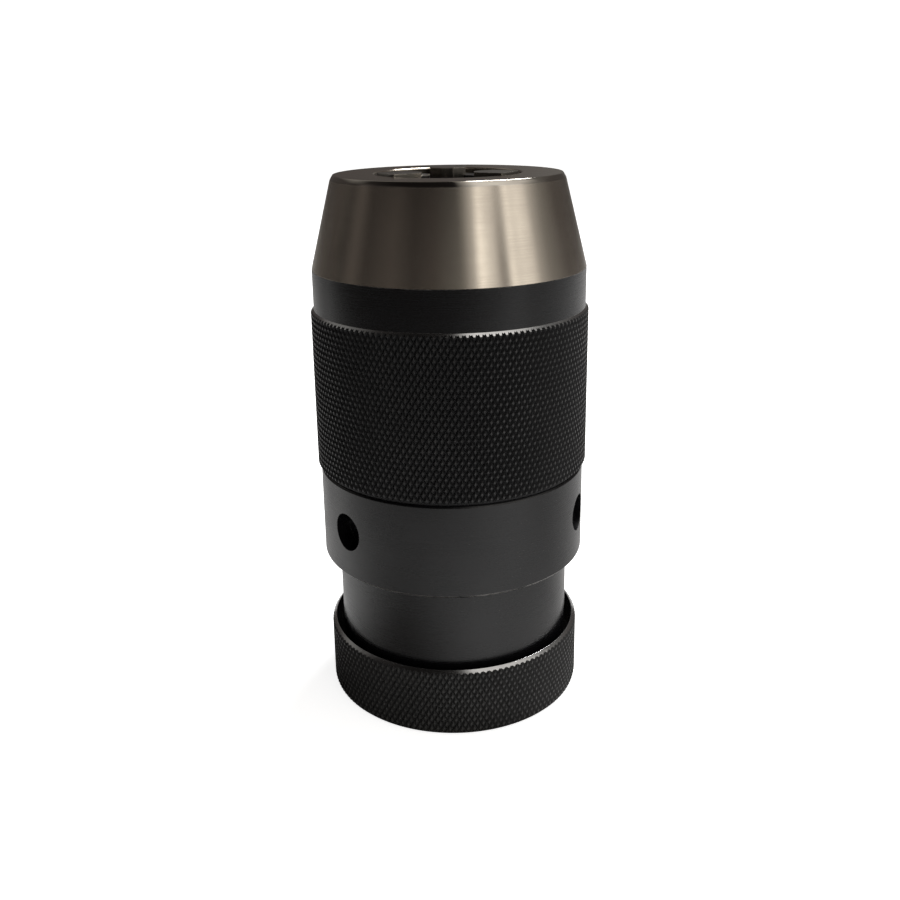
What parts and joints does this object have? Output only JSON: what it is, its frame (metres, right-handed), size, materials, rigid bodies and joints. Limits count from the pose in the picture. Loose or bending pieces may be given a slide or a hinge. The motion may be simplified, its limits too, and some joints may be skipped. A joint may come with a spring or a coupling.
{
  "type": "drill chuck",
  "caption": "Keyless self-tightening drill chuck with a tapered nose, knurled grip sleeve, spanner-hole hood, rear holding ring and a taper socket.",
  "frame": {"origin": "on the chuck's axis at its rear face, which it stands on", "axes": "+Z along the axis from the rear face to the nose; +Y towards jaw 1"},
  "size_m": [0.057, 0.057, 0.1109],
  "materials": {
    "ground_steel": "fine ground, bright",
    "black_steel": "black oxide over turned and knurled steel, satin",
    "jaw_steel": "hardened, ground and oiled",
    "inner_steel": "machined, darkened by heat treatment and oiled",
    "bearing_steel": "ground and polished",
    "spring_steel": "blackened spring steel",
    "bronze": "turned bronze",
    "brass": "drilled brass",
    "rubber": "moulded rubber"
  },
  "bodies": {
    "rear_end": {"chuck_body": "black_steel", "holding_ring": "black_steel", "ring_pins": "bearing_steel", "brake_washer": "bronze", "neck_seal": "rubber", "front_race": "bearing_steel"},
    "outer_shell": {"sleeve": "ground_steel", "hood": "black_steel", "hood_bush": "bronze", "joint_seal": "rubber", "rear_race": "bearing_steel", "jaw_guide": "inner_steel", "guide_pins": "bearing_steel", "guide_clip": "spring_steel"},
    "bearing_cage": {"ball_cage": "brass", "thrust_balls": "bearing_steel"},
    "feed_spindle": {"spindle": "inner_steel"},
    "jaw_one": {"jaw_1": "jaw_steel"},
    "jaw_two": {"jaw_2": "jaw_steel"},
    "jaw_three": {"jaw_3": "jaw_steel"}
  },
  "joints": [
    {"name": "sleeve_turn", "type": "hinge", "parent": "rear_end", "child": "outer_shell", "pos_m": [0, 0, 0.05], "axis": [0, 0, -1], "range_deg": [-660, 2210]},
    {"name": "cage_turn", "type": "hinge", "parent": "rear_end", "child": "bearing_cage", "pos_m": [0, 0, 0.0373], "axis": [0, 0, -1], "range_deg": [-335, 1110]},
    {"name": "spindle_feed", "type": "slide", "parent": "outer_shell", "child": "feed_spindle", "axis": [0, 0, 1], "range_m": [-0.0046, 0.01539]},
    {"name": "jaw_1_slide", "type": "slide", "parent": "outer_shell", "child": "jaw_one", "axis": [0, -0.309, 0.9511], "range_m": [-0.00485, 0.01618]},
    {"name": "jaw_2_slide", "type": "slide", "parent": "outer_shell", "child": "jaw_two", "axis": [0.2676, 0.1545, 0.9511], "range_m": [-0.00485, 0.01618]},
    {"name": "jaw_3_slide", "type": "slide", "parent": "outer_shell", "child": "jaw_three", "axis": [-0.2676, 0.1545, 0.9511], "range_m": [-0.00485, 0.01618]}
  ],
  "couplings": [
    {"joint": "cage_turn", "follows": "sleeve_turn", "ratio": 0.5},
    {"joint": "spindle_feed", "follows": "sleeve_turn", "m_per_rad": 0.00039789},
    {"joint": "jaw_1_slide", "follows": "sleeve_turn", "m_per_rad": 0.00041836},
    {"joint": "jaw_2_slide", "follows": "sleeve_turn", "m_per_rad": 0.00041836},
    {"joint": "jaw_3_slide", "follows": "sleeve_turn", "m_per_rad": 0.00041836}
  ]
}
